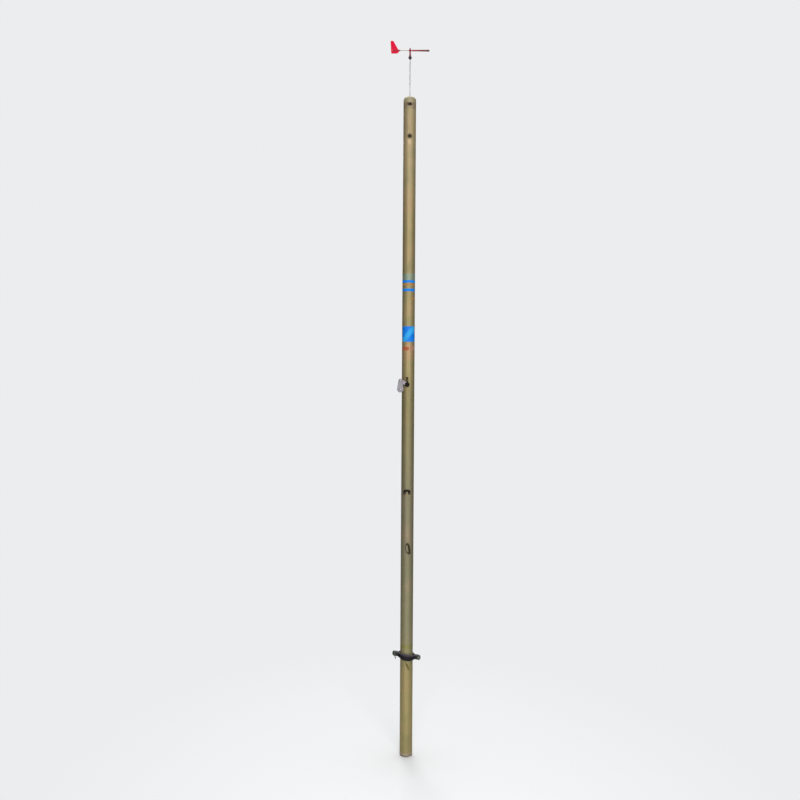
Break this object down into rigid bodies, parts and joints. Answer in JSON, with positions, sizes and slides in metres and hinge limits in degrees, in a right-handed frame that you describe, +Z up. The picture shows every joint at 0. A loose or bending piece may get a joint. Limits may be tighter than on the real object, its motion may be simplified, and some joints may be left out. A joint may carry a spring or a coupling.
{
  "type": "dinghy mast with wind vane",
  "caption": "Tubular alloy mast of a small sailing dinghy with end plugs, halyard block, fairlead, jamming cleat, loosened thwart clamp and a wind vane turning on a spindle at its head.",
  "frame": {"origin": "centre of the heel face, on the axis of the tube", "axes": "+Z up the mast, -Y towards the side that carries the fittings, -X towards the tail of the vane at rest"},
  "size_m": [0.1393, 0.0687, 2.5505],
  "materials": {
    "anodised_tube": "champagne anodised, satin, scuffed",
    "mill_aluminium": "mill finish",
    "cast_alloy": "satin, worn",
    "tan_plastic": "matt moulded plastic",
    "foam": "closed-cell foam",
    "stainless": "brushed stainless steel",
    "black_plastic": "matt moulded plastic",
    "plum_plastic": "matt moulded plastic",
    "red_plastic": "semi-gloss plastic",
    "dark_red_plastic": "matt moulded plastic",
    "bronze_weight": "dull, painted dark",
    "grey_plastic": "matt moulded plastic",
    "rubber": "matt"
  },
  "bodies": {
    "mast": {"mast_tube": "anodised_tube", "heel_plug": "tan_plastic", "top_plug": "tan_plastic", "sail_tie_bush": "tan_plastic", "stiffening_sleeve": "mill_aluminium", "foam_bung_heel": "foam", "foam_bung_top": "foam", "spindle_socket": "stainless", "vane_spindle": "stainless", "spindle_ferrule": "plum_plastic", "halyard_pad": "black_plastic", "halyard_lug": "stainless", "halyard_stud": "black_plastic", "halyard_pad_rivet": "stainless", "fairlead_saddle": "black_plastic", "fairlead_rivet_left": "stainless", "fairlead_rivet_right": "stainless", "cleat_body": "cast_alloy", "cleat_screw_upper": "stainless", "cleat_screw_lower": "stainless"},
    "vane": {"vane_hub": "red_plastic", "vane_bearing_cup": "stainless", "vane_arm_rod": "stainless", "vane_nose_sleeve": "dark_red_plastic", "vane_nose_weight": "bronze_weight", "vane_fin_socket": "dark_red_plastic", "vane_tail_fin": "red_plastic"},
    "block": {"block_cheek_front": "grey_plastic", "block_cheek_rear": "grey_plastic", "block_head_pin": "stainless", "block_washer_front": "stainless", "block_washer_rear": "stainless", "block_axle": "stainless"},
    "sheave": {"block_sheave": "black_plastic"},
    "liner": {"clamp_liner": "rubber"},
    "clamp": {"clamp_shell_front": "black_plastic", "clamp_shell_rear": "black_plastic", "clamp_wing_bolt": "stainless", "clamp_plain_bolt": "stainless", "clamp_wing_washer": "stainless", "clamp_plain_washer": "stainless", "clamp_plain_nut": "stainless"},
    "wing_nut": {"clamp_wing_nut": "black_plastic"}
  },
  "joints": [
    {"name": "vane_turn", "type": "hinge", "parent": "mast", "child": "vane", "pos_m": [0, 0, 2.5165], "axis": [0, 0, 1], "continuous": true},
    {"name": "block_swing", "type": "hinge", "parent": "mast", "child": "block", "pos_m": [-0.028, -0.0298, 1.336], "axis": [0, 1, 0], "range_deg": [-10, 105]},
    {"name": "sheave_spin", "type": "hinge", "parent": "block", "child": "sheave", "pos_m": [-0.028, -0.0298, 1.305], "axis": [0, 1, 0], "continuous": true},
    {"name": "clamp_slide", "type": "slide", "parent": "mast", "child": "liner", "axis": [0, 0, 1], "range_m": [-0.25, 0.3]},
    {"name": "clamp_turn", "type": "hinge", "parent": "liner", "child": "clamp", "pos_m": [0, 0, 0.355], "axis": [0.165, 0, 0.9863], "continuous": true},
    {"name": "wing_nut_turn", "type": "hinge", "parent": "clamp", "child": "wing_nut", "pos_m": [-0.0434, 0, 0.36226], "axis": [0, 1, 0], "continuous": true}
  ]
}
